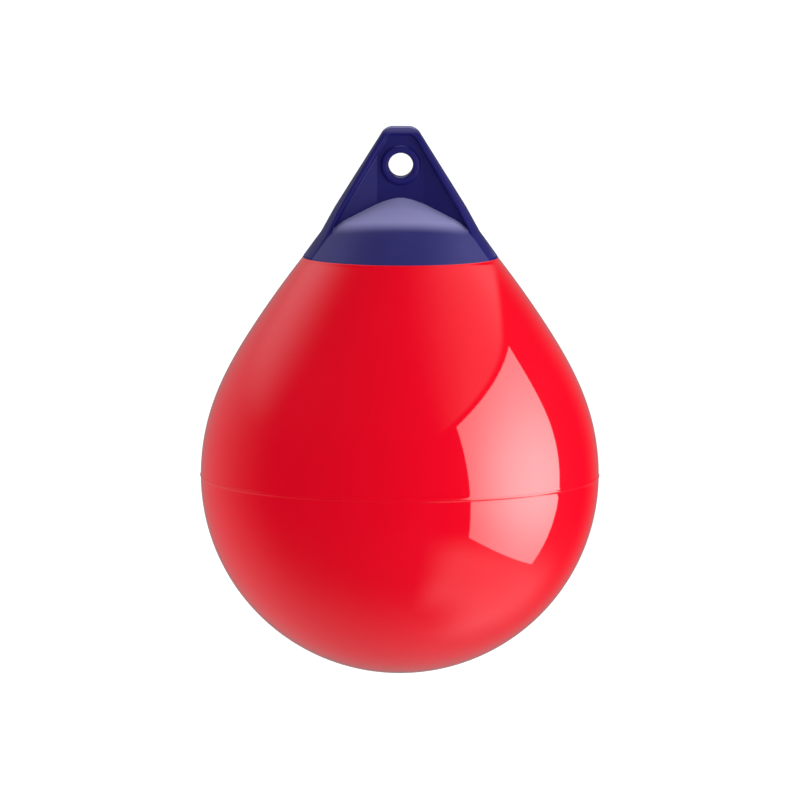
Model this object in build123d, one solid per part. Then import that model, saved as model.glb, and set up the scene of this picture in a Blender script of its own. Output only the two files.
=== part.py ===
from build123d import *
import math
import os

# Teardrop mooring buoy: a hollow soft vinyl body with a solid moulded rope hold on its neck.
# Millimetres. The origin is the middle of the rope eye, +Z is up, the front faces -Y
# and the eye runs along Y.

# Body shell
body_r = 214.8            # largest radius, at the seam
seam_z = -335.0           # level of the seam, below the eye
shell_wall = 3.0          # wall of the vinyl body
shoulder_r = 238.0        # curve of the shoulder above the seam
shoulder_turn = 30.2      # degrees that the shoulder turns before the neck starts
neck_r = 1100.0           # long flat curve of the neck
mouth_z = -99.5           # level where the shell ends under the rope hold
ledge_w = 17.0            # ring inside the mouth that the rope hold is bonded to
ledge_t = 4.0             # thickness of that ring
ridge_foot = 4.6          # height of the seam ridge at its foot
ridge_crest = 2.2         # height of its flat crest
ridge_proud = 0.9         # how far it stands out

# Fin of the rope hold, a tapered plate along X
fin_top_z = 40.5          # top of the fin
fin_top_half = 16.7       # half width at the top, before the corners are rounded
fin_flank = 32.1          # lean of its long straight sides, degrees from upright
waist_z = -46.0           # where the sides turn a little steeper
waist_flank = 28.8        # lean of the sides through the waist
flare_z = -73.0           # where the sides meet the flare of the base
fin_top_depth = 15.0      # half thickness at the top
fin_lean = 11.6           # lean of its front and back, degrees from upright
fin_corner = 4.6          # rounding round its flat top
fin_edge = 2.0            # rounding of the long outer edges

# Recess on each side of the fin
web_half = 13.0           # half thickness of the flat web round the eye
web_floor = 24.8          # half width of the flat web
facet_angle = 20.0        # how the recess slopes out from the web to the rim, degrees
rim_top = 7.5             # width of the rim at the top
rim_foot = 11.0           # width of the rim at the foot
recess_top_z = 33.5       # top of the recess
recess_corner = 5.0       # rounding of its top corners

# Rope eye
eye_r = 13.2              # bore for the rope
boss_r = 21.0             # raised ring round the bore
boss_half = 16.7          # half length of the ring, along Y
boss_round = 3.5          # rounding of its shoulders
mouth_round = 3.0         # rounding of the bore's mouths, so that the rope doesn't chafe

# Dome that the fin stands on
dome_top_z = -28.2        # where the slopes of its cap would meet
cap_slope = 24.6          # slope of the cap, degrees from level
flare_angle = 36.5        # lean of the flare below it, degrees from upright
dome_round = 70.0         # rounding between cap and flare
dome_tip = 10.0           # half width of the flat at its top, hidden inside the web
dome_wall = 9.0           # thickness of the moulding over its hollow
spigot_depth = 8.0        # how far its collar reaches through the mouth
spigot_wall = 8.0         # thickness of that collar
bond_gap = 0.3            # glue line round the collar

# Air valve, on the back of the dome
valve_r = 57.0            # distance of the valve from the middle of the dome
pad_r = 15.0              # raised pad that carries the valve
pad_proud = 2.0           # how far the pad stands out of the dome
seat_flange_r = 11.0      # flange of the moulded seat
seat_flange_t = 1.6       # thickness of that flange
seat_barrel_r = 8.6       # barrel of the seat, through the dome
seat_fit = 0.15           # clearance of the barrel in the dome
head_r = 6.4              # head of the valve screw
head_t = 2.8              # thickness of the head
head_gap = 0.5            # clearance round the head
stem_r = 4.0              # stem of the screw
stem_len = 11.0           # length of the stem under the washer
stem_gap = 0.2            # clearance round the stem
washer_t = 1.0            # sealing washer under the head
washer_r = 5.9            # outer radius of the washer
seal_gap = 0.1            # gap left under the washer
slot_w = 1.8              # coin slot in the head
slot_depth = 1.5          # depth of the slot
valve_edge = 0.5          # small roundings of the valve pieces


def lean(angle):
    """Sideways run for each millimetre of height, for a lean in degrees from upright."""
    return math.tan(math.radians(angle))


# Centres of the shoulder's and the neck's arcs, in the plane of radius and height
turn = math.radians(shoulder_turn)
shoulder_centre = (body_r - shoulder_r, seam_z)
neck_centre = (
    shoulder_centre[0] - (neck_r - shoulder_r) * math.cos(turn),
    seam_z - (neck_r - shoulder_r) * math.sin(turn),
)


def neck_radius(level, inset=0.0):
    """Radius of the neck at a level, on the skin or an inset below it."""
    rise = level - neck_centre[1]
    return neck_centre[0] + math.sqrt((neck_r - inset) ** 2 - rise ** 2)


mouth_r = neck_radius(mouth_z)


def on_arc(centre, radius, angle):
    """Point of an arc, as radius and height, for an angle above level in radians."""
    return (centre[0] + radius * math.cos(angle), centre[1] + radius * math.sin(angle))


def body_curve(inset, top_z):
    """Half outline of the body from its lowest point up to a level, inset from the skin."""
    low = on_arc((0, seam_z), body_r - inset, -math.pi / 2)
    low_mid = on_arc((0, seam_z), body_r - inset, -math.pi / 4)
    side = (body_r - inset, seam_z)
    bend_mid = on_arc(shoulder_centre, shoulder_r - inset, turn / 2)
    bend_end = on_arc(shoulder_centre, shoulder_r - inset, turn)
    top = (neck_radius(top_z, inset), top_z)
    top_angle = math.asin((top_z - neck_centre[1]) / (neck_r - inset))
    neck_mid = on_arc(neck_centre, neck_r - inset, (turn + top_angle) / 2)
    return [
        ThreePointArc(low, low_mid, side),
        ThreePointArc(side, bend_mid, bend_end),
        ThreePointArc(bend_end, neck_mid, top),
    ]


def spin(*edges):
    """Solid of revolution about Z of a closed outline drawn as radius and height."""
    return revolve(Plane.XZ * make_face(list(edges)), Axis.Z)


def make_body_shell():
    """Hollow body with the bonding ring in its mouth and the ridge of the mould seam."""
    ledge_z = mouth_z - ledge_t
    outer = body_curve(0.0, mouth_z)
    inner = body_curve(shell_wall, ledge_z)
    ring = Polyline(
        (mouth_r, mouth_z),
        (mouth_r - ledge_w, mouth_z),
        (mouth_r - ledge_w, ledge_z),
        (neck_radius(ledge_z, shell_wall), ledge_z),
    )
    foot = Line((0, seam_z - body_r), (0, seam_z - body_r + shell_wall))
    shell = spin(*outer, ring, *inner, foot)
    ridge = Polyline(
        (body_r - shell_wall / 2, seam_z - ridge_foot / 2),
        (body_r, seam_z - ridge_foot / 2),
        (body_r + ridge_proud, seam_z - ridge_crest / 2),
        (body_r + ridge_proud, seam_z + ridge_crest / 2),
        (body_r, seam_z + ridge_foot / 2),
        (body_r - shell_wall / 2, seam_z + ridge_foot / 2),
        close=True,
    )
    return shell + spin(ridge)


# Half widths of the fin where its sides turn
waist_half = fin_top_half + (fin_top_z - waist_z) * lean(fin_flank)
flare_half = waist_half + (waist_z - flare_z) * lean(waist_flank)
fin_levels = [  # level, half width
    (fin_top_z, fin_top_half),
    (waist_z, waist_half),
    (flare_z, flare_half),
    (mouth_z, mouth_r),
]


def fin_depth(level):
    """Half thickness of the fin at a level."""
    return fin_top_depth + (fin_top_z - level) * lean(fin_lean)


def fin_section(level, half):
    """Section of the fin: flat front and back, and ends as round as the mouth below."""
    depth = fin_depth(level)
    corner = half - (mouth_r - math.sqrt(mouth_r ** 2 - depth ** 2))
    edges = [
        Line((-corner, -depth), (corner, -depth)),
        ThreePointArc((corner, -depth), (half, 0), (corner, depth)),
        Line((corner, depth), (-corner, depth)),
        ThreePointArc((-corner, depth), (-half, 0), (-corner, -depth)),
    ]
    return Plane.XY.offset(level) * make_face(edges)


def make_fin():
    """Tapered plate, rounded at its top corners and along its long edges."""
    sections = [fin_section(level, half) for level, half in fin_levels]
    fin = loft(sections, ruled=True)
    top = fin.faces().sort_by(Axis.Z)[-1]
    fin = fillet(top.edges(), fin_corner)
    long_edges = fin.edges().filter_by(lambda edge: edge.bounding_box().size.Z > fin_corner)
    return fillet(long_edges, fin_edge)


def rim_width(level):
    """Width of the fin's rim at a level."""
    share = (fin_top_z - level) / (fin_top_z - mouth_z)
    return rim_top + (rim_foot - rim_top) * share


def make_recess():
    """Window between the fin's rims, right through along Y, as a cutting solid."""
    top_half = fin_top_half + (fin_top_z - recess_top_z) * lean(fin_flank) - rim_width(recess_top_z)
    right = [(top_half, recess_top_z)]
    right += [(half - rim_width(level), level) for level, half in fin_levels[1:]]
    left = [(-x, z) for x, z in reversed(right)]
    outline = make_face(Polyline(*right, *left, close=True))
    corners = outline.vertices().sort_by(Axis.Y)[-2:]
    outline = fillet(corners, recess_corner)
    return extrude(Plane.XZ * outline, 2 * mouth_r, both=True)


def make_web():
    """Web round the eye with its sloping facets, upright and full height, as a solid."""
    slope = lean(facet_angle)
    far = mouth_r
    far_depth = web_half + (far - web_floor) * slope
    outline = Polyline(
        (-far, -far_depth), (-web_floor, -web_half), (web_floor, -web_half), (far, -far_depth),
        (far, far_depth), (web_floor, web_half), (-web_floor, web_half), (-far, far_depth),
        close=True,
    )
    height = fin_top_z - mouth_z
    return extrude(Plane.XY.offset(mouth_z) * make_face(outline), height)


def make_dome():
    """Solid dome under the fin, from the shell's mouth to its cap."""
    corner_r = mouth_r - (dome_top_z - mouth_z) * lean(flare_angle)
    corner_r /= 1 - math.tan(math.radians(cap_slope)) * lean(flare_angle)
    corner_z = cap_level(corner_r)
    slope = FilletPolyline(
        (dome_tip, cap_level(dome_tip)), (corner_r, corner_z), (mouth_r, mouth_z),
        radius=dome_round,
    )
    rest = Polyline(
        (mouth_r, mouth_z), (0, mouth_z), (0, cap_level(dome_tip)), (dome_tip, cap_level(dome_tip))
    )
    return spin(slope, rest)


def cap_level(radius, depth=0.0):
    """Level of the dome's cap at a radius, or of a surface that deep below it."""
    angle = math.radians(cap_slope)
    return dome_top_z - radius * math.tan(angle) - depth / math.cos(angle)


spigot_r = mouth_r - ledge_w - bond_gap
hollow_r = spigot_r - spigot_wall


def make_spigot():
    """Collar that stands through the shell's mouth."""
    return spin(Polyline(
        (0, mouth_z), (spigot_r, mouth_z), (spigot_r, mouth_z - spigot_depth),
        (0, mouth_z - spigot_depth), close=True,
    ))


def make_hollow():
    """Hollow under the dome, as a cutting solid."""
    return spin(Polyline(
        (0, cap_level(dome_tip, dome_wall)), (dome_tip, cap_level(dome_tip, dome_wall)),
        (hollow_r, cap_level(hollow_r, dome_wall)), (hollow_r, mouth_z - 2 * spigot_depth),
        (0, mouth_z - 2 * spigot_depth), close=True,
    ))


def spin_eye(*edges):
    """Solid of revolution about Y of a closed outline drawn as radius and distance along Y."""
    return revolve(make_face(list(edges)), Axis.Y)


def make_boss():
    """Raised ring round the eye, still without its bore."""
    outline = FilletPolyline(
        (0, boss_half), (boss_r, boss_half), (boss_r, -boss_half), (0, -boss_half),
        radius=boss_round,
    )
    return spin_eye(outline, Line((0, -boss_half), (0, boss_half)))


def make_eye_bore():
    """Bore with rounded mouths, as a cutting solid."""
    flat = boss_half - mouth_round
    wide = eye_r + mouth_round
    past = boss_half + mouth_round
    diagonal = mouth_round * math.sqrt(0.5)
    return spin_eye(
        Line((eye_r, -flat), (eye_r, flat)),
        ThreePointArc((eye_r, flat), (wide - diagonal, flat + diagonal), (wide, boss_half)),
        Polyline(
            (wide, boss_half), (wide, past), (0, past), (0, -past), (wide, -past), (wide, -boss_half)
        ),
        ThreePointArc((wide, -boss_half), (wide - diagonal, -flat - diagonal), (eye_r, -flat)),
    )


# Plane of the valve, on the back of the dome, with its Z out of the dome
cap_angle = math.radians(cap_slope)
valve_plane = Plane(
    origin=(0, valve_r, cap_level(valve_r)),
    x_dir=(1, 0, 0),
    z_dir=(0, math.sin(cap_angle), math.cos(cap_angle)),
)
seat_top = pad_proud + seat_flange_t
seat_foot = -dome_wall - pad_proud
head_floor = seat_top - head_t - washer_t - seal_gap


def post(radius, low, high):
    """Upright round solid on the valve's plane, from one level to another."""
    return valve_plane * Pos(0, 0, low) * extrude(Circle(radius), high - low)


def make_rope_hold():
    """Moulded rope hold: dome, fin with its two recesses, eye, collar and valve pad."""
    fin = make_fin()
    recess = make_recess()
    plate = (fin - recess) + (fin & make_web())
    hold = make_dome() + plate + make_boss() + make_spigot()
    hold = hold - make_hollow() - make_eye_bore()
    hold = hold + post(pad_r, seat_foot, pad_proud)
    return hold - post(seat_barrel_r + seat_fit, 2 * seat_foot, seat_top)


def make_valve_seat():
    """Moulded seat: a barrel through the dome under a thin flange, bored for the screw."""
    flange = post(seat_flange_r, pad_proud, seat_top)
    seat = post(seat_barrel_r, seat_foot, seat_top) + flange
    seat = seat - post(head_r + head_gap, head_floor, 2 * seat_top)
    return seat - post(stem_r + stem_gap, 2 * seat_foot, seat_top)


def make_valve_screw():
    """Coin-slotted screw, head up."""
    under_head = seat_top - head_t
    stem_foot = under_head - washer_t - stem_len
    screw = post(head_r, under_head, seat_top) + post(stem_r, stem_foot, under_head)
    outward = Axis(valve_plane.origin, valve_plane.z_dir)
    ends = screw.edges().sort_by(outward)
    screw = chamfer([ends[0], ends[-1]], valve_edge)
    slot = Box(3 * head_r, slot_w, 2 * slot_depth)
    return screw - valve_plane * Pos(0, 0, seat_top) * slot


def make_valve_washer():
    """Flat sealing washer under the screw's head."""
    top = seat_top - head_t
    washer = post(washer_r, top - washer_t, top)
    return washer - post(stem_r, top - 2 * washer_t, 2 * top)


os.makedirs("parts", exist_ok=True)
pieces = {
    "body_shell": make_body_shell(),
    "rope_hold": make_rope_hold(),
    "valve_seat": make_valve_seat(),
    "valve_screw": make_valve_screw(),
    "valve_washer": make_valve_washer(),
}
for name, piece in pieces.items():
    export_step(piece, f"parts/{name}.step")
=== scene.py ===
import logging
import math
from dataclasses import dataclass, field
from enum import Enum
from typing import Callable, Sequence, Union

import bmesh
import bpy
import numpy as np
from mathutils import Matrix, Vector


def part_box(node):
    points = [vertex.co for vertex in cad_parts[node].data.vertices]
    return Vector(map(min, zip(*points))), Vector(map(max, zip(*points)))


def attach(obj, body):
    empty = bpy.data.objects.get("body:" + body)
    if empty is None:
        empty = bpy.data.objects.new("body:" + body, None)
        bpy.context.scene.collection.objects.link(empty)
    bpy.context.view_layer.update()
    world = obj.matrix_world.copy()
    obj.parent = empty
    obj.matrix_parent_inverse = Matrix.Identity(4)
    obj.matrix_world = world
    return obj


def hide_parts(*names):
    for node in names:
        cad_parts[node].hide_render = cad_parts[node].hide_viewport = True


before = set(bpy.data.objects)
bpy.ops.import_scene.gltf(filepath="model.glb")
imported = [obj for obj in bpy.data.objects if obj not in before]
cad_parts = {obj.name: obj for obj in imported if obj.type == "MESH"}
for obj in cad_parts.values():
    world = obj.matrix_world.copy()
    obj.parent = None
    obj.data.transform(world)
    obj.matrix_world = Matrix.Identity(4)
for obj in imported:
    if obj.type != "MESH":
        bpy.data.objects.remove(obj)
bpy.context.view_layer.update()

log = logging.getLogger("buoy")

MM = 0.001                # the sizes below are in millimetres, Blender's are in metres
Colour = tuple[float, float, float]
Point2 = tuple[float, float]
Distance = Callable[[np.ndarray, np.ndarray, np.ndarray], np.ndarray]


# Shader maths

class Link:
    """An output socket of a shader tree that can be used in Python sums."""

    def __init__(self, shader: "Shader", socket: bpy.types.NodeSocket) -> None:
        """Keeps the tree and the socket."""
        self.shader = shader
        self.socket = socket

    def _math(self, operation: str, *values: "Value") -> "Link":
        """Adds a Math node and returns its result."""
        return self.shader.node("ShaderNodeMath", {"operation": operation}, dict(enumerate(values)))

    def __add__(self, other: "Value") -> "Link":
        """Sum."""
        return self._math("ADD", self, other)

    def __sub__(self, other: "Value") -> "Link":
        """Difference."""
        return self._math("SUBTRACT", self, other)

    def __rsub__(self, other: "Value") -> "Link":
        """Difference from a number."""
        return self._math("SUBTRACT", other, self)

    def __mul__(self, other: "Value") -> "Link":
        """Product."""
        return self._math("MULTIPLY", self, other)

    def __truediv__(self, other: "Value") -> "Link":
        """Quotient."""
        return self._math("DIVIDE", self, other)

    def __neg__(self) -> "Link":
        """Negative."""
        return self._math("MULTIPLY", self, -1.0)

    def __abs__(self) -> "Link":
        """Absolute value."""
        return self._math("ABSOLUTE", self)

    __radd__ = __add__
    __rmul__ = __mul__

    def exp(self) -> "Link":
        """Natural exponential."""
        return self._math("EXPONENT", self)

    def degrees(self, operation: str, *others: "Value") -> "Link":
        """Result of an inverse trigonometric operation, in degrees."""
        return self._math(operation, self, *others) * math.degrees(1.0)

    def at_least(self, floor: "Value") -> "Link":
        """The larger of this and another value."""
        return self._math("MAXIMUM", self, floor)

    def at_most(self, roof: "Value") -> "Link":
        """The smaller of this and another value."""
        return self._math("MINIMUM", self, roof)

    def step(self, start: float, end: float) -> "Link":
        """Smooth step from 0 at start to 1 at end."""
        values = {"Value": self, "From Min": start, "From Max": end}
        return self.shader.node("ShaderNodeMapRange", {"interpolation_type": "SMOOTHSTEP"}, values)


Value = Union[Link, float]


class Shader:
    """Builds the node tree of a material, a world or a lamp."""

    def __init__(self, owner: bpy.types.ID) -> None:
        """Empties the owner's tree.

        Args:
            owner: The material, world or light whose nodes are written.
        """
        owner.use_nodes = True
        self.tree = owner.node_tree
        self.tree.nodes.clear()

    def node(self, kind: str, settings: dict[str, object], inputs: dict[Union[int, str], object],
             output: Union[int, str] = 0) -> Link:
        """Adds a node.

        Args:
            kind: The node's type name.
            settings: Its properties, set before the sockets.
            inputs: Socket name or number to a value or a Link.
            output: The socket to return.

        Returns:
            The asked output.
        """
        new = self.tree.nodes.new(kind)
        for name, value in settings.items():
            setattr(new, name, value)
        for name, value in inputs.items():
            socket = new.inputs[name]
            if isinstance(value, Link):
                self.tree.links.new(value.socket, socket)
            else:
                socket.default_value = value
        return Link(self, new.outputs[output])

    def place(self, kind: str = "Object") -> Link:
        """Coordinates of the shaded point, in metres in the object's own frame."""
        return self.node("ShaderNodeTexCoord", {}, {}, kind)

    def axes(self, vector: Link) -> tuple[Link, Link, Link]:
        """Splits a vector.

        Args:
            vector: A point or a direction.

        Returns:
            Its X, Y and Z.
        """
        first = self.node("ShaderNodeSeparateXYZ", {}, {0: vector})
        outputs = first.socket.node.outputs
        return first, Link(self, outputs[1]), Link(self, outputs[2])

    def noise(self, vector: Link, scale: float, detail: float = 2.0, rough: float = 0.5) -> Link:
        """Noise from 0 to 1 at a scale in features a metre."""
        values = {"Vector": vector, "Scale": scale, "Detail": detail, "Roughness": rough}
        return self.node("ShaderNodeTexNoise", {}, values)

    def blend(self, share: Value, first: Union[Link, Colour], second: Union[Link, Colour]) -> Link:
        """Mixes two colours.

        Args:
            share: Share of the second, from 0 to 1.
            first: Colour at 0.
            second: Colour at 1.

        Returns:
            The mixed colour.
        """
        values = {"Factor": share}
        for name, colour in ((6, first), (7, second)):
            values[name] = colour if isinstance(colour, Link) else (*colour, 1.0)
        return self.node("ShaderNodeMix", {"data_type": "RGBA"}, values, 2)

    def bump(self, height: Link, depth: float, below: Union[Link, None] = None) -> Link:
        """Turns a height into a bumped normal.

        Args:
            height: Height from 0 to 1.
            depth: What a height of 1 stands for, in metres.
            below: The normal to lay it over.

        Returns:
            The bumped normal.
        """
        values = {"Strength": 1.0, "Distance": depth, "Height": height}
        if below is not None:
            values["Normal"] = below
        return self.node("ShaderNodeBump", {}, values)

    def output(self, surface: Link, kind: str = "ShaderNodeOutputMaterial") -> None:
        """Connects the tree's output."""
        self.tree.links.new(surface.socket, self.tree.nodes.new(kind).inputs["Surface"])


class Finish:
    """A surface finish that is made once and shared by the pieces that have it."""

    name = "finish"

    def shade(self, shader: Shader) -> Link:
        """Builds the surface.

        Args:
            shader: The material's node tree.

        Returns:
            The surface shader.
        """
        raise NotImplementedError

    def material(self) -> bpy.types.Material:
        """Finds the Blender material of this finish, or makes it.

        Returns:
            The material.
        """
        made = bpy.data.materials.get(self.name)
        if made is None:
            made = bpy.data.materials.new(self.name)
            shader = Shader(made)
            shader.output(self.shade(shader))
        return made

    def put_on(self, piece: bpy.types.Object) -> None:
        """Makes this the piece's only material."""
        piece.data.materials.clear()
        piece.data.materials.append(self.material())


@dataclass(frozen=True)
class BodyVinyl(Finish):
    """Glossy red vinyl of the body, polished by its mould."""

    name: str = "glossy red vinyl"
    colour: Colour = (0.86, 0.0, 0.0150)
    pale: Colour = (0.88, 0.0012, 0.0180)
    roughness: float = 0.28
    gloss: float = 0.04
    coat_index: float = 2.5
    peel_depth: float = 0.004 * MM
    wave_depth: float = 0.35 * MM

    def shade(self, shader: Shader) -> Link:
        """Red vinyl under a clear polished skin, faintly clouded and slightly uneven.

        Args:
            shader: The material's node tree.

        Returns:
            The surface shader.
        """
        place = shader.place()
        clouds = shader.noise(place, 9.0, 3.0)
        haze = shader.noise(place, 40.0, 4.0, 0.6)
        peel = shader.bump(shader.noise(place, 300.0, 2.0), self.peel_depth)
        return shader.node("ShaderNodeBsdfPrincipled", {}, {
            "Base Color": shader.blend(clouds.step(0.40, 0.80), self.colour, self.pale),
            "Roughness": self.roughness + 0.06 * haze,
            "IOR": 1.5,
            "Specular IOR Level": 0.04,
            "Coat Weight": 0.96 + 0.04 * haze,
            "Coat Roughness": self.gloss,
            "Coat IOR": self.coat_index,
            "Normal": shader.bump(shader.noise(place, 10.0, 1.0), self.wave_depth, peel),
        })


@dataclass(frozen=True)
class HoldVinyl(Finish):
    """Satin navy vinyl of the rope hold, with a painted pale reflection where it faces the sky."""

    name: str = "satin navy vinyl"
    colour: Colour = (0.0098, 0.0072, 0.121)
    worn: Colour = (0.0150, 0.0118, 0.142)
    # painted reflection: the pale lilac that stands in for the bright overhead light reflected in the
    # hold's upward faces
    bloom_and_painted_reflection: Colour = (0.262, 0.252, 0.500)
    roughness: float = 0.34
    fin_top: float = 40.5 * MM
    fin_depth: float = 15.0 * MM
    fin_lean: float = math.tan(math.radians(11.6))
    # painted highlight: how much paler the top of the fin is made
    painted_top_highlight: float = 0.19
    # share by which the painted reflection is weakened on the upward faces of the fin above the dome
    shaded: float = 0.42
    grain_depth: float = 0.008 * MM
    wave_depth: float = 0.12 * MM

    def shade(self, shader: Shader) -> Link:
        """Navy vinyl with a fine moulded grain, and a pale painted reflection on the cap of its dome,
        on the dome's sides and along the fin's top.

        Args:
            shader: The material's node tree.

        Returns:
            The surface shader.
        """
        place = shader.place()
        clouds = shader.noise(place, 24.0, 3.0)
        colour = shader.blend(clouds.step(0.45, 0.9), self.colour, self.worn)
        side, depth, height = shader.axes(place)
        fin = self.fin_depth + (self.fin_top - height) * self.fin_lean
        # painted reflection: the dome beyond the fin is made paler, more so towards its left and right
        # sides
        dome = (abs(depth) - fin).step(0.0, 1.5 * MM) * (0.05 + 0.08 * abs(side).step(0.02, 0.08))
        # painted reflection on the faces that look up, spread further towards the sides and weaker on
        # the fin above the dome
        upward = shader.axes(shader.place("Normal"))[2] + side * side * 16.0
        cap = upward.step(0.76, 0.945) * (1.0 - self.shaded * height.step(-0.030, -0.020))
        # painted highlight along the top few millimetres of the fin
        painted_top_highlight = height.step(0.033, 0.039) * self.painted_top_highlight
        # painted reflections and highlight together, with a little random tone; they pale the base
        # colour and roughen it
        painted_reflection_mask = (cap + dome + painted_top_highlight) * (0.9 + 0.2 * clouds)
        grain = shader.bump(shader.noise(place, 900.0, 2.0), self.grain_depth)
        return shader.node("ShaderNodeBsdfPrincipled", {}, {
            "Base Color": shader.blend(painted_reflection_mask.at_most(1.0), colour, self.bloom_and_painted_reflection),
            "Roughness": self.roughness + 0.08 * clouds + 0.3 * painted_reflection_mask,
            "IOR": 1.5,
            "Specular IOR Level": 0.28,
            "Normal": shader.bump(shader.noise(place, 45.0, 1.0), self.wave_depth, grain),
        })


@dataclass(frozen=True)
class ValvePlastic(Finish):
    """Black moulded plastic of the air valve."""

    name: str = "black valve plastic"
    colour: Colour = (0.012, 0.012, 0.014)
    dusty: Colour = (0.03, 0.03, 0.034)

    def shade(self, shader: Shader) -> Link:
        """Black plastic with a fine grain.

        Args:
            shader: The material's node tree.

        Returns:
            The surface shader.
        """
        place = shader.place()
        grain = shader.noise(place, 1500.0, 3.0)
        dust = shader.noise(place, 160.0, 4.0, 0.6)
        colour = shader.blend(dust.step(0.5, 0.8), self.colour, self.dusty)
        return shader.node("ShaderNodeBsdfPrincipled", {}, {
            "Base Color": colour,
            "Roughness": 0.32 + 0.15 * dust,
            "Normal": shader.bump(grain, 0.01 * MM),
        })


@dataclass(frozen=True)
class SealRubber(Finish):
    """Dull rubber of the valve's washer."""

    name: str = "dull seal rubber"
    colour: Colour = (0.02, 0.02, 0.02)
    pale: Colour = (0.05, 0.05, 0.05)

    def shade(self, shader: Shader) -> Link:
        """Near-black rubber with a slight bloom.

        Args:
            shader: The material's node tree.

        Returns:
            The surface shader.
        """
        place = shader.place()
        bloom_and_painted_reflection = shader.noise(place, 300.0, 4.0)
        return shader.node("ShaderNodeBsdfPrincipled", {}, {
            "Base Color": shader.blend(bloom_and_painted_reflection.step(0.4, 0.8), self.colour, self.pale),
            "Roughness": 0.7 + 0.1 * bloom_and_painted_reflection,
            "Normal": shader.bump(bloom_and_painted_reflection, 0.03 * MM),
        })


@dataclass(frozen=True)
class PaleFloor(Finish):
    """Plain white studio floor, which looks white to the camera away from the shadow."""

    name: str = "pale studio floor"
    colour: Colour = (0.85, 0.85, 0.85)
    glow: float = 0.35

    def shade(self, shader: Shader) -> Link:
        """Matt white, with a glow that brings the lit floor up to white in the picture.

        Args:
            shader: The material's node tree.

        Returns:
            The surface shader.
        """
        matt = shader.node("ShaderNodeBsdfDiffuse", {}, {"Color": (*self.colour, 1.0)})
        seen = shader.node("ShaderNodeLightPath", {}, {}, "Is Camera Ray")
        glow = shader.node("ShaderNodeEmission", {}, {"Strength": seen * self.glow})
        return shader.node("ShaderNodeAddShader", {}, {0: matt, 1: glow})


# Meshes

def new_piece(name: str, points: np.ndarray, faces: Sequence[Sequence[int]]) -> bpy.types.Object:
    """Makes an object from points in millimetres.

    Args:
        name: The object's name.
        points: One row for each vertex.
        faces: Vertex numbers of each face.

    Returns:
        The object, smooth shaded and linked to the scene.
    """
    mesh = bpy.data.meshes.new(name)
    mesh.from_pydata((points * MM).tolist(), [], faces)
    mesh.polygons.foreach_set("use_smooth", [True] * len(mesh.polygons))
    mesh.update()
    piece = bpy.data.objects.new(name, mesh)
    bpy.context.scene.collection.objects.link(piece)
    return piece


def arc(centre: Point2, radius: float, start: float, end: float, step: float) -> list[Point2]:
    """Points of an arc in the plane of radius and height.

    Args:
        centre: The arc's centre.
        radius: Its radius.
        start: First angle above level, in radians.
        end: Last angle, in radians.
        step: Greatest distance between points.

    Returns:
        The points, both ends among them.
    """
    count = max(2, math.ceil(abs(end - start) * radius / step)) + 1
    angles = np.linspace(start, end, count)
    return [(centre[0] + radius * math.cos(a), centre[1] + radius * math.sin(a)) for a in angles]


def lathe(name: str, outline: Sequence[Point2], around: int) -> bpy.types.Object:
    """Turns an outline about Z.

    Args:
        name: The object's name.
        outline: Radius and height of each ring in millimetres, a radius of 0 at both ends.
        around: Number of sides.

    Returns:
        A closed smooth object.
    """
    angles = np.linspace(0.0, 2.0 * math.pi, around, endpoint=False)
    rings = np.array(outline[1:-1])
    points = np.stack([
        np.outer(rings[:, 0], np.cos(angles)),
        np.outer(rings[:, 0], np.sin(angles)),
        np.repeat(rings[:, 1:], around, axis=1),
    ], axis=-1).reshape(-1, 3)
    poles = np.array([(0.0, 0.0, outline[0][1]), (0.0, 0.0, outline[-1][1])])
    first, last = len(points), len(points) + 1
    faces = []
    for side in range(around):
        after = (side + 1) % around
        faces.append((first, after, side))
        for ring in range(len(rings) - 1):
            low, high = ring * around, (ring + 1) * around
            faces.append((low + side, low + after, high + after, high + side))
        top = (len(rings) - 1) * around
        faces.append((last, top + side, top + after))
    return new_piece(name, np.vstack([points, poles]), faces)


# Body

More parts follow.
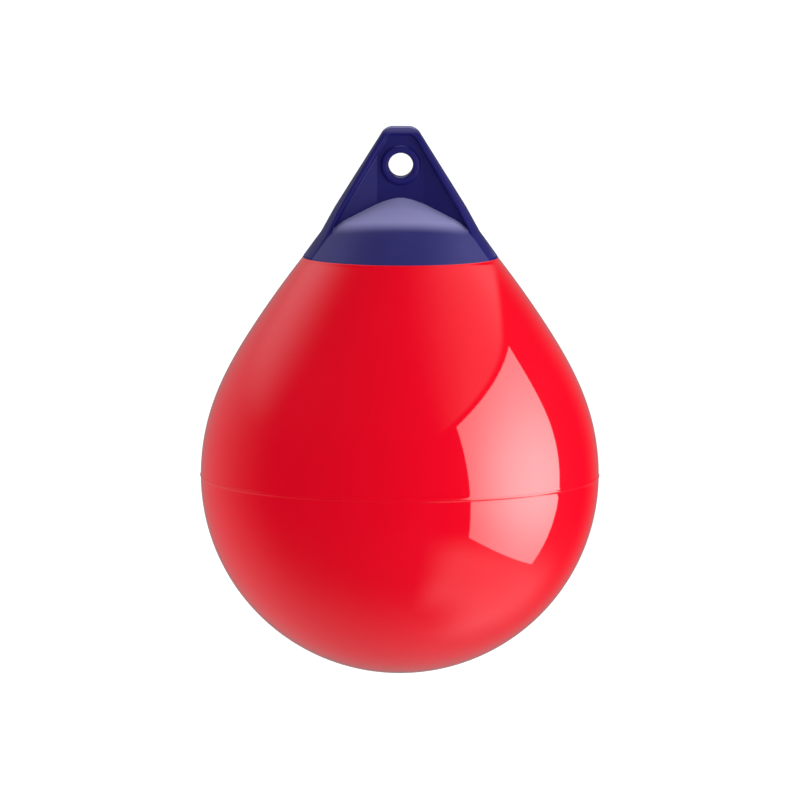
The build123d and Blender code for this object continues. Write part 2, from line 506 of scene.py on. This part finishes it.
@dataclass
class BodyShell:
    """The hollow vinyl body: round below, drawn up into a neck, with the ridge of its seam."""

    radius: float = 214.8
    seam_z: float = -335.0
    wall: float = 3.0
    shoulder_r: float = 238.0
    shoulder_turn: float = math.radians(30.2)
    neck_r: float = 1100.0
    mouth_z: float = -99.5
    ledge_w: float = 17.0
    ledge_t: float = 4.0
    ridge_h: float = 4.6
    ridge_proud: float = 0.7
    ridge_rows: int = 12
    lip: float = 1.0
    lip_start: float = math.radians(35)
    lip_step: float = 0.4
    spread: float = 50.0
    around: int = 256
    step: float = 4.0
    inside_step: float = 32.0
    finish: Finish = field(default_factory=BodyVinyl)

    @property
    def shoulder_centre(self) -> Point2:
        """Centre of the shoulder's arc."""
        return (self.radius - self.shoulder_r, self.seam_z)

    @property
    def neck_centre(self) -> Point2:
        """Centre of the neck's flat arc, which leaves the shoulder without a corner."""
        reach = self.neck_r - self.shoulder_r
        return (
            self.shoulder_centre[0] - reach * math.cos(self.shoulder_turn),
            self.seam_z - reach * math.sin(self.shoulder_turn),
        )

    def neck_angle(self, level: float, inset: float = 0.0) -> float:
        """Angle on the neck's arc at a level."""
        return math.asin((level - self.neck_centre[1]) / (self.neck_r - inset))

    def neck_radius(self, level: float, inset: float = 0.0) -> float:
        """Radius of the neck at a level."""
        angle = self.neck_angle(level, inset)
        return self.neck_centre[0] + (self.neck_r - inset) * math.cos(angle)

    @property
    def mouth_r(self) -> float:
        """Radius of the shell's mouth, where the rope hold starts."""
        return self.neck_radius(self.mouth_z)

    def flank(self, low: float, top: float) -> list[Point2]:
        """Shoulder and neck, their change of curve spread out so that reflections run on smoothly.

        Args:
            low: Angle on the shoulder's arc where the flank starts.
            top: Level where it ends.

        Returns:
            Points from the seam's ridge to the mouth.
        """
        shoulder = self.shoulder_r * (self.shoulder_turn - low)
        length = shoulder + self.neck_r * (self.neck_angle(top) - self.shoulder_turn)
        count = round(length)
        piece = length / count
        along = (np.arange(count) + 0.5) * piece
        bend = np.where(along < shoulder, 1.0 / self.shoulder_r, 1.0 / self.neck_r)
        reach = round(self.spread / piece)
        window = np.full(2 * reach + 1, 1.0 / (2 * reach + 1))
        bend = np.convolve(np.pad(bend, reach, mode="edge"), window, "valid")
        angle = low + (np.cumsum(bend) - bend / 2) * piece
        centre = self.shoulder_centre
        r = centre[0] + self.shoulder_r * math.cos(low) - np.cumsum(np.sin(angle)) * piece
        z = centre[1] + self.shoulder_r * math.sin(low) + np.cumsum(np.cos(angle)) * piece
        drift = (np.arange(1, count + 1) / count) ** 2
        r += (self.neck_radius(top) - r[-1]) * drift
        z += (top - z[-1]) * drift
        every = round(self.step)
        return [(float(a), float(b)) for a, b in zip(r[::-every][::-1], z[::-every][::-1])]

    def outline(self) -> list[Point2]:
        """Draws the closed half outline: the skin from below, the mouth's ring, then the inside.

        Returns:
            Radius and height of each ring of the body, a radius of 0 at both ends.
        """
        seam = (0.0, self.seam_z)
        low = math.asin(self.ridge_h / 2 / self.radius)
        skin = arc(seam, self.radius, -math.pi / 2, -low, self.step)
        for share in np.linspace(-1.0, 1.0, self.ridge_rows + 1)[1:-1]:
            proud = self.ridge_proud * math.cos(share * math.pi / 2) ** 2
            skin.append((self.radius + proud, self.seam_z + share * self.ridge_h / 2))
        top = self.mouth_z - self.lip
        skin += self.flank(low, top)
        lip_centre = (self.neck_radius(top) - self.lip, top)
        skin += arc(lip_centre, self.lip, self.lip_start, math.pi / 2, self.lip_step)[1:]
        ledge_r = self.mouth_r - self.ledge_w
        ledge_z = self.mouth_z - self.ledge_t
        inside = [(ledge_r, self.mouth_z), (ledge_r, ledge_z)]
        inside += reversed(arc(
            self.neck_centre, self.neck_r - self.wall, self.shoulder_turn,
            self.neck_angle(ledge_z, self.wall), self.inside_step,
        ))
        inside += list(reversed(arc(
            self.shoulder_centre, self.shoulder_r - self.wall, 0.0, self.shoulder_turn, self.inside_step
        )))[1:]
        below = arc(seam, self.radius - self.wall, -math.pi / 2, 0.0, self.inside_step)
        return skin + inside + list(reversed(below))[1:]

    def build(self) -> bpy.types.Object:
        """Makes the body and puts it in the place of its solid.

        Returns:
            The body.
        """
        piece = lathe("buoy_body", self.outline(), self.around)
        self.finish.put_on(piece)
        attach(piece, "buoy")
        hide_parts("body_shell")
        return piece


# Rope hold

def cut(first: np.ndarray, second: np.ndarray, radius: float) -> np.ndarray:
    """Distance to what is inside both shapes, with the edge between them rounded."""
    ends = np.hypot(np.maximum(first + radius, 0.0), np.maximum(second + radius, 0.0))
    return np.minimum(np.maximum(first, second), -radius) + ends


def join(first: np.ndarray, second: np.ndarray, radius: float) -> np.ndarray:
    """Distance to what is inside either shape, with a fillet in the corner between them."""
    return -cut(-first, -second, radius)


@dataclass
class RopeHold:
    """The moulded rope hold: dome, tapered fin with recesses, ringed eye and valve pad."""

    mouth_r: float
    mouth_z: float
    top_z: float = 40.5
    flanks: tuple[Point2, ...] = ((40.5, 16.7), (-46.0, 70.96), (-73.0, 85.8))
    flank: float = math.radians(32.1)
    corner: float = 5.6
    top_depth: float = 15.0
    front_lean: float = math.radians(11.6)
    edge: float = 2.0
    web_half: float = 13.0
    web_floor: float = 24.8
    facet: float = math.radians(20.0)
    rim_top: float = 7.5
    rim_foot: float = 11.0
    recess_top: float = 33.5
    recess_edge: float = 1.9
    recess_root: float = 2.6
    eye_r: float = 13.2
    boss_r: float = 21.0
    boss_half: float = 16.7
    boss_round: float = 3.5
    mouth_round: float = 3.0
    cap_top: float = -28.2
    cap_slope: float = math.radians(24.6)
    flare: float = math.radians(36.5)
    dome_round: float = 70.0
    weld: float = 1.6
    valve_r: float = 57.0
    pad_r: float = 15.0
    pad_proud: float = 2.0
    barrel_r: float = 8.75
    barrel_depth: float = 13.0
    seat_gap: float = 0.2
    seat_round: float = 1.2
    seat_depth: float = 1.6
    cell: float = 1.05
    margin: float = 2.0
    finish: Finish = field(default_factory=HoldVinyl)

    def __post_init__(self) -> None:
        """Finds the centre of the arc that joins the dome's cap and its flare."""
        top = self.mouth_r - (self.cap_top - self.mouth_z) * math.tan(self.flare)
        corner_r = top / (1.0 - math.tan(self.cap_slope) * math.tan(self.flare))
        corner_z = self.cap_top - corner_r * math.tan(self.cap_slope)
        between = (math.pi / 2 - self.cap_slope - self.flare) / 2
        inset = self.dome_round / math.cos(between)
        aim = self.flare + between
        self.bend = (corner_r - inset * math.cos(aim), corner_z - inset * math.sin(aim))

    def half_width(self, z: np.ndarray) -> np.ndarray:
        """Half width of the fin.

        Args:
            z: Levels, which may lie above the fin or below it.

        Returns:
            The half width at each level.
        """
        levels = [self.mouth_z] + [level for level, _ in reversed(self.flanks)]
        halves = [self.mouth_r] + [half for _, half in reversed(self.flanks)]
        slope_top = (halves[-1] - halves[-2]) / (levels[-1] - levels[-2])
        slope_foot = (halves[1] - halves[0]) / (levels[1] - levels[0])
        width = np.interp(z, levels, halves)
        width = np.where(z > levels[-1], halves[-1] + slope_top * (z - levels[-1]), width)
        return np.where(z < levels[0], halves[0] + slope_foot * (z - levels[0]), width)

    def fin(self, x: np.ndarray, y: np.ndarray, z: np.ndarray) -> np.ndarray:
        """Distance to the tapered plate, before its recesses.

        Args:
            x: Points' place along the fin.
            y: Points' place through it.
            z: Points' level.

        Returns:
            The distance of each point, negative inside.
        """
        bulge = self.mouth_r - np.sqrt(np.maximum(self.mouth_r ** 2 - y * y, 1.0))
        side = (np.abs(x) + bulge - self.half_width(z)) * math.cos(self.flank)
        depth = self.top_depth + (self.top_z - z) * math.tan(self.front_lean)
        face = (np.abs(y) - depth) * math.cos(self.front_lean)
        return cut(cut(side, z - self.top_z, self.corner), face, self.edge)

    def recess(self, x: np.ndarray, y: np.ndarray, z: np.ndarray) -> np.ndarray:
        """Distance to what the recesses leave: the rims outside them and the web between.

        Args:
            x: Points' place along the fin.
            y: Points' place through it.
            z: Points' level.

        Returns:
            The distance of each point, negative inside.
        """
        share = (self.top_z - z) / (self.top_z - self.mouth_z)
        rim = self.rim_top + (self.rim_foot - self.rim_top) * share
        sides = (np.abs(x) - self.half_width(z) + rim) * math.cos(self.flank)
        window = cut(sides, z - self.recess_top, self.corner)
        slope = np.maximum(np.abs(x) - self.web_floor, 0.0) * math.tan(self.facet)
        web = (np.abs(y) - self.web_half - slope) * math.cos(self.facet)
        return join(-window, web, self.recess_root)

    def dome(self, x: np.ndarray, y: np.ndarray, z: np.ndarray) -> np.ndarray:
        """Distance to the dome under the fin.

        Args:
            x: Points' place along the fin.
            y: Points' place through it.
            z: Points' level.

        Returns:
            The distance of each point, negative inside.
        """
        radius = np.hypot(x, y)
        cap = (z - self.cap_top + radius * math.tan(self.cap_slope)) * math.cos(self.cap_slope)
        wide = self.mouth_r + (self.mouth_z - z) * math.tan(self.flare)
        flare = (radius - wide) * math.cos(self.flare)
        across, up = radius - self.bend[0], z - self.bend[1]
        before = across * math.cos(self.cap_slope) - up * math.sin(self.cap_slope)
        after = up * math.cos(self.flare) - across * math.sin(self.flare)
        bend = np.hypot(across, up) - self.dome_round
        return np.where((before > 0.0) & (after > 0.0), bend, np.maximum(cap, flare))

    def valve_axes(self, y: np.ndarray, z: np.ndarray) -> tuple[np.ndarray, np.ndarray]:
        """Places points by the valve's axis.

        Args:
            y: Points' place through the fin.
            z: Points' level.

        Returns:
            Distance across and along the axis, from its place on the dome's back.
        """
        base = self.cap_top - self.valve_r * math.tan(self.cap_slope)
        dy, dz = y - self.valve_r, z - base
        across = dy * math.cos(self.cap_slope) - dz * math.sin(self.cap_slope)
        along = dy * math.sin(self.cap_slope) + dz * math.cos(self.cap_slope)
        return across, along

    def distance(self, x: np.ndarray, y: np.ndarray, z: np.ndarray) -> np.ndarray:
        """Distance to the whole moulding.

        Args:
            x: Points' place along the fin.
            y: Points' place through it.
            z: Points' level.

        Returns:
            The distance of each point, negative inside.
        """
        plate = cut(self.fin(x, y, z), self.recess(x, y, z), self.recess_edge)
        solid = join(plate, self.dome(x, y, z), self.weld)
        ring = np.hypot(x, z)
        boss = cut(ring - self.boss_r, np.abs(y) - self.boss_half, self.boss_round)
        solid = join(solid, boss, self.weld)
        across, along = self.valve_axes(y, z)
        reach = np.hypot(x, across)
        pad = cut(reach - self.pad_r, np.abs(along) - self.pad_proud, self.weld)
        solid = join(solid, pad, 2 * self.weld)
        barrel = np.maximum(reach - self.barrel_r, -along - self.barrel_depth)
        solid = np.maximum(solid, -barrel)
        solid = cut(solid, self.eye_r - ring, self.mouth_round)
        solid = cut(solid, np.hypot(x, y) - self.mouth_r + self.seat_gap, self.seat_round)
        return np.maximum(solid, self.mouth_z - self.seat_depth - z)

    def build(self) -> bpy.types.Object:
        """Makes the rope hold's skin and puts it in the place of its solid.

        Returns:
            The rope hold.
        """
        reach = self.mouth_r + self.margin
        low = (-reach, -reach, self.mouth_z - 2 * self.margin)
        high = (reach, reach, self.top_z + self.margin)
        piece = new_piece("rope_hold_moulding", *skin(self.distance, low, high, self.cell))
        merge_flats(piece)
        points = np.array([vertex.co for vertex in piece.data.vertices]) / MM
        piece.data.normals_split_custom_set_from_vertices(slope_of(self.distance, points).tolist())
        self.finish.put_on(piece)
        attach(piece, "buoy")
        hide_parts("rope_hold")
        return piece


def slope_of(distance: Distance, points: np.ndarray, step: float = 0.05) -> np.ndarray:
    """Gradient of a distance, by central differences.

    Args:
        distance: Signed distance of points in millimetres.
        points: One row for each point.
        step: How far to look each way.

    Returns:
        One row for each point, about one long.
    """
    columns = []
    for axis in range(3):
        shift = np.zeros(3)
        shift[axis] = step
        ahead, behind = points + shift, points - shift
        columns.append((distance(*ahead.T) - distance(*behind.T)) / (2 * step))
    return np.stack(columns, axis=1)


def skin(distance: Distance, low: Sequence[float], high: Sequence[float], cell: float,
         rounds: int = 4) -> tuple[np.ndarray, list[list[int]]]:
    """Meshes the surface where a distance is zero, with one vertex in each cell that it crosses.

    Args:
        distance: Signed distance of points in millimetres.
        low: Lowest corner of the box to look in.
        high: Highest corner.
        cell: Size of the cells.
        rounds: How often the vertices are moved towards the surface.

    Returns:
        Vertices on the surface and faces of four.
    """
    ticks = [np.arange(a, b + cell, cell) for a, b in zip(low, high)]
    values = distance(*np.meshgrid(*ticks, indexing="ij"))
    inside = values < 0.0
    shape = tuple(n - 1 for n in inside.shape)
    corners = [(i, j, k) for i in (0, 1) for j in (0, 1) for k in (0, 1)]

    def shifted(array: np.ndarray, offset: tuple[int, int, int]) -> np.ndarray:
        """The array as seen from one corner of every cell."""
        return array[tuple(slice(o, o + n) for o, n in zip(offset, shape))]

    count = sum(shifted(inside, corner).astype(np.int8) for corner in corners)
    cells = np.argwhere((count > 0) & (count < 8))
    number = np.full(shape, -1)
    number[tuple(cells.T)] = np.arange(len(cells))
    total = np.zeros((len(cells), 3))
    hits = np.zeros(len(cells))
    for axis in range(3):
        for corner in corners:
            if corner[axis]:
                continue
            start = np.array(corner)
            end = start.copy()
            end[axis] = 1
            before = values[tuple((cells + start).T)]
            after = values[tuple((cells + end).T)]
            crossed = (before < 0) != (after < 0)
            share = np.where(crossed, before / np.where(crossed, before - after, 1.0), 0.0)
            spot = start + np.outer(share, np.eye(3)[axis])
            total += spot * crossed[:, None]
            hits += crossed
    points = np.array(low) + cell * (cells + total / hits[:, None])
    for _ in range(rounds):
        gradient = slope_of(distance, points)
        length = np.maximum((gradient ** 2).sum(axis=1), 0.25)
        move = gradient * (distance(*points.T) / length)[:, None]
        points = points - np.clip(move, -cell / 2, cell / 2)
    faces = []
    for axis in range(3):
        ahead = np.roll(np.eye(3, dtype=int), -axis, axis=0)
        along, first, second = ahead
        edge = tuple(slice(0, n - a) for n, a in zip(inside.shape, along))
        beyond = tuple(slice(a, n) for n, a in zip(inside.shape, along))
        changed = np.argwhere(inside[edge] != inside[beyond])
        ring = [changed - first - second, changed - second, changed, changed - first]
        quads = np.stack([number[tuple(corner.T)] for corner in ring], axis=1)
        leaves = inside[tuple(changed.T)]
        quads = np.where(leaves[:, None], quads, quads[:, ::-1])
        faces += quads.tolist()
    return points, faces


def merge_flats(piece: bpy.types.Object, limit: float = math.radians(0.05)) -> None:
    """Merges the small faces of each flat part of a piece.

    Args:
        piece: The piece whose mesh is changed.
        limit: Greatest angle between faces that count as flat.
    """
    mesh = bmesh.new()
    mesh.from_mesh(piece.data)
    bmesh.ops.dissolve_limit(mesh, angle_limit=limit, verts=mesh.verts, edges=mesh.edges)
    mesh.to_mesh(piece.data)
    mesh.free()


# Air valve

@dataclass
class AirValve:
    """The valve on the back of the dome, whose solids keep their own shape."""

    plastic: Finish = field(default_factory=ValvePlastic)
    rubber: Finish = field(default_factory=SealRubber)

    def build(self) -> None:
        """Dresses the valve's solids."""
        self.plastic.put_on(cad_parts["valve_seat"])
        self.plastic.put_on(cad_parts["valve_screw"])
        self.rubber.put_on(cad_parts["valve_washer"])


# Studio

class Seen(Enum):
    """What a lamp's light shows in."""

    ALL = "all"
    GLOSS = "reflections only"
    MATT = "matt light only"


@dataclass
class Softbox:
    """A flat rectangular lamp."""

    name: str
    centre: Sequence[float]
    facing: Sequence[float]
    width: float
    height: float
    radiance: float
    seen: Seen = Seen.ALL
    hot: float = 0.0
    hot_at: Point2 = (0.5, 0.5)
    hot_size: Point2 = (0.3, 0.3)

    def build(self) -> None:
        """Makes the lamp. Its light may be stronger round one spot."""
        lamp = bpy.data.lights.new(self.name, "AREA")
        lamp.shape = "RECTANGLE"
        lamp.size, lamp.size_y = self.width * MM, self.height * MM
        lamp.energy = self.radiance * math.pi * lamp.size * lamp.size_y
        if self.hot:
            self.grade(lamp)
        item = bpy.data.objects.new(self.name, lamp)
        turn = Vector(self.facing).to_track_quat("-Z", "Y")
        item.matrix_world = Matrix.Translation(Vector(self.centre) * MM) @ turn.to_matrix().to_4x4()
        item.visible_camera = False
        item.visible_glossy = self.seen is not Seen.MATT
        item.visible_diffuse = self.seen is not Seen.GLOSS
        bpy.context.scene.collection.objects.link(item)

    def grade(self, lamp: bpy.types.Light) -> None:
        """Gives the lamp a bright spot that fades outwards.

        Args:
            lamp: The lamp's data.
        """
        shader = Shader(lamp)
        spot = shader.node("ShaderNodeNewGeometry", {}, {}, "Parametric")
        u, v, _ = shader.axes(spot)
        across = (u - self.hot_at[0]) / self.hot_size[0]
        up = (v - self.hot_at[1]) / self.hot_size[1]
        fall = (-(across * across + up * up)).exp()
        light = shader.node("ShaderNodeEmission", {}, {"Strength": (1.0 - self.hot) + fall * self.hot})
        shader.output(light, "ShaderNodeOutputLight")


@dataclass
class Room:
    """The studio round the set: white behind it, lit overhead, dark on the camera's side."""

    matt_level: float = 1.13
    scrim_edge: float = 1.24
    scrim_skew: float = 0.167
    scrim_right: float = 0.190
    scrim_back: float = 0.20
    wall_level: float = 0.30
    wall_top: float = 0.27
    floor_level: float = 0.23
    pool_level: float = 0.27

    def scrim(self, x: Link, y: Link, z: Link) -> Link:
        """The white cloth overhead, brighter to the right and to the back, with a straight edge.

        Args:
            x: Direction to the right.
            y: Direction to the back.
            z: Direction upwards.

        Returns:
            Its light.
        """
        height = z.at_least(0.02)
        across, along = x / height, y / height
        edge = (self.scrim_edge - across + self.scrim_skew * along).step(0.0, 0.08)
        right = 0.004 + self.scrim_right * (across + along * 0.5).step(-0.25, 0.85)
        back = self.scrim_back * along.step(-0.30, 0.90)
        ends = (1.0 - along.step(1.0, 3.0)) * along.step(-3.2, -0.8) * across.step(-4.0, -1.0)
        return (right + back) * edge * ends * z.step(0.10, 0.45)

    def walls(self, side: Link, rise: Link) -> Link:
        """The walls behind the set, darker on the right.

        Args:
            side: Degrees to the right of the camera's side.
            rise: Degrees above level.

        Returns:
            Their light.
        """
        left = (-side).step(76.0, 165.0)
        right = side.step(132.0, 179.0)
        high = ((-side).step(85.0, 150.0) + side.step(145.0, 179.0)) * rise.step(0.0, 60.0)
        return ((left + right) * self.wall_level + high * self.wall_top) * rise.step(-70.0, -20.0)

    def floor(self, side: Link, rise: Link, back: Link) -> Link:
        """The floor under the buoy, with the pool of light that the window lamp throws on it.

        Args:
            side: Degrees to the right of the camera's side.
            rise: Degrees above level.
            back: Direction to the back.

        Returns:
            Its light.
        """
        plain = (-rise).step(10.0, 70.0) * (0.01 + self.floor_level * back.step(-0.6, 0.7))
        pool = side.step(12.0, 45.0) * (1.0 - side.step(115.0, 155.0))
        pool = pool * (-rise).step(24.0, 42.0) * (1.0 - (-rise).step(58.0, 80.0))
        return plain + pool * self.pool_level

    def build(self) -> None:
        """Writes the world's shader: white to the camera, the room in reflections."""
        world = bpy.data.worlds.new("studio")
        world.cycles.sampling_method = "NONE"
        bpy.context.scene.world = world
        shader = Shader(world)
        x, y, z = shader.axes(shader.place("Generated"))
        side = x.degrees("ARCTAN2", -y)
        rise = z.degrees("ARCSINE")
        room = self.scrim(x, y, z) + self.walls(side, rise) + self.floor(side, rise, y)
        seen = shader.node("ShaderNodeLightPath", {}, {}, "Is Camera Ray")
        gloss = shader.node("ShaderNodeLightPath", {}, {}, "Is Glossy Ray")
        clear = shader.node("ShaderNodeLightPath", {}, {}, "Is Transmission Ray")
        mirror = (gloss + clear).at_most(1.0)
        level = seen + (1.0 - seen) * (mirror * room + (1.0 - mirror) * self.matt_level)
        light = shader.node("ShaderNodeBackground", {}, {"Strength": level})
        shader.output(light, "ShaderNodeOutputWorld")


@dataclass
class Camera:
    """The photograph's viewpoint. Its picture is 800 pixels square."""

    distance: float = 5500.0
    elevation: float = math.radians(6.8)
    aim_x: float = 0.0
    aim_z: float = -254.5
    frame_width: float = 862.6
    sensor: float = 36.0
    roll: float = math.radians(0.18)

    def build(self) -> None:
        """Makes the camera and gives it to the scene."""
        data = bpy.data.cameras.new("camera")
        data.sensor_width = self.sensor
        data.lens = self.sensor * self.distance / self.frame_width
        data.clip_start, data.clip_end = 0.1, 200.0
        item = bpy.data.objects.new("camera", data)
        aim = Vector((self.aim_x, 0.0, self.aim_z)) * MM
        back = Vector((0.0, -math.cos(self.elevation), math.sin(self.elevation)))
        turn = Matrix.Rotation(math.pi / 2 - self.elevation, 4, "X")
        place = Matrix.Translation(aim + back * self.distance * MM)
        item.matrix_world = place @ turn @ Matrix.Rotation(self.roll, 4, "Z")
        bpy.context.scene.collection.objects.link(item)
        bpy.context.scene.camera = item


@dataclass
class Studio:
    """Floor, lamps, room and camera."""

    floor_drop: float = 300.0
    floor_half: float = 60000.0
    floor: Finish = field(default_factory=PaleFloor)
    room: Room = field(default_factory=Room)
    camera: Camera = field(default_factory=Camera)

    def lamps(self) -> list[Softbox]:
        """Lists the lamps: the window-shaped softbox on the right, and a low one behind on the left.

        Returns:
            The window's reflection, its matt light and the matt light from behind.
        """
        window = dict(
            centre=(858.3, -506.9, -350.3), facing=(-0.986, 0.079, -0.146), width=1143.0, height=1376.0
        )
        return [
            Softbox("window_gloss", **window, radiance=2.3, seen=Seen.GLOSS, hot=0.65,
                    hot_at=(0.72, 0.5), hot_size=(0.52, 0.42)),
            Softbox("window_matt", **window, radiance=2.85, seen=Seen.MATT),
            Softbox("rear_matt", centre=(-1000.0, 700.0, -560.0), facing=(0.8, -0.58, 0.14),
                    width=900.0, height=500.0, radiance=6.0, seen=Seen.MATT),
        ]

    def build(self, lowest: float) -> None:
        """Makes the studio.

        Args:
            lowest: Level of the buoy's lowest point, in millimetres.
        """
        self.camera.build()
        half = self.floor_half
        level = lowest - self.floor_drop
        square = ((-half, -half), (half, -half), (half, half), (-half, half))
        corners = np.array([(x, y, level) for x, y in square])
        ground = new_piece("floor", corners, [(0, 1, 2, 3)])
        self.floor.put_on(ground)
        ground.visible_glossy = False
        for lamp in self.lamps():
            lamp.build()
        self.room.build()


def main() -> None:
    """Builds the buoy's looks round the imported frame."""
    logging.basicConfig(level=logging.INFO, format="%(message)s")
    bpy.context.scene.view_settings.view_transform = "Standard"
    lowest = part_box("body_shell")[0].z / MM
    Studio().build(lowest)
    body = BodyShell()
    piece = body.build()
    log.info("%s: %d faces", piece.name, len(piece.data.polygons))
    hold = RopeHold(mouth_r=body.mouth_r, mouth_z=body.mouth_z)
    piece = hold.build()
    log.info("%s: %d faces", piece.name, len(piece.data.polygons))
    AirValve().build()
    log.info("air valve dressed")


if __name__ == "__main__":
    main()
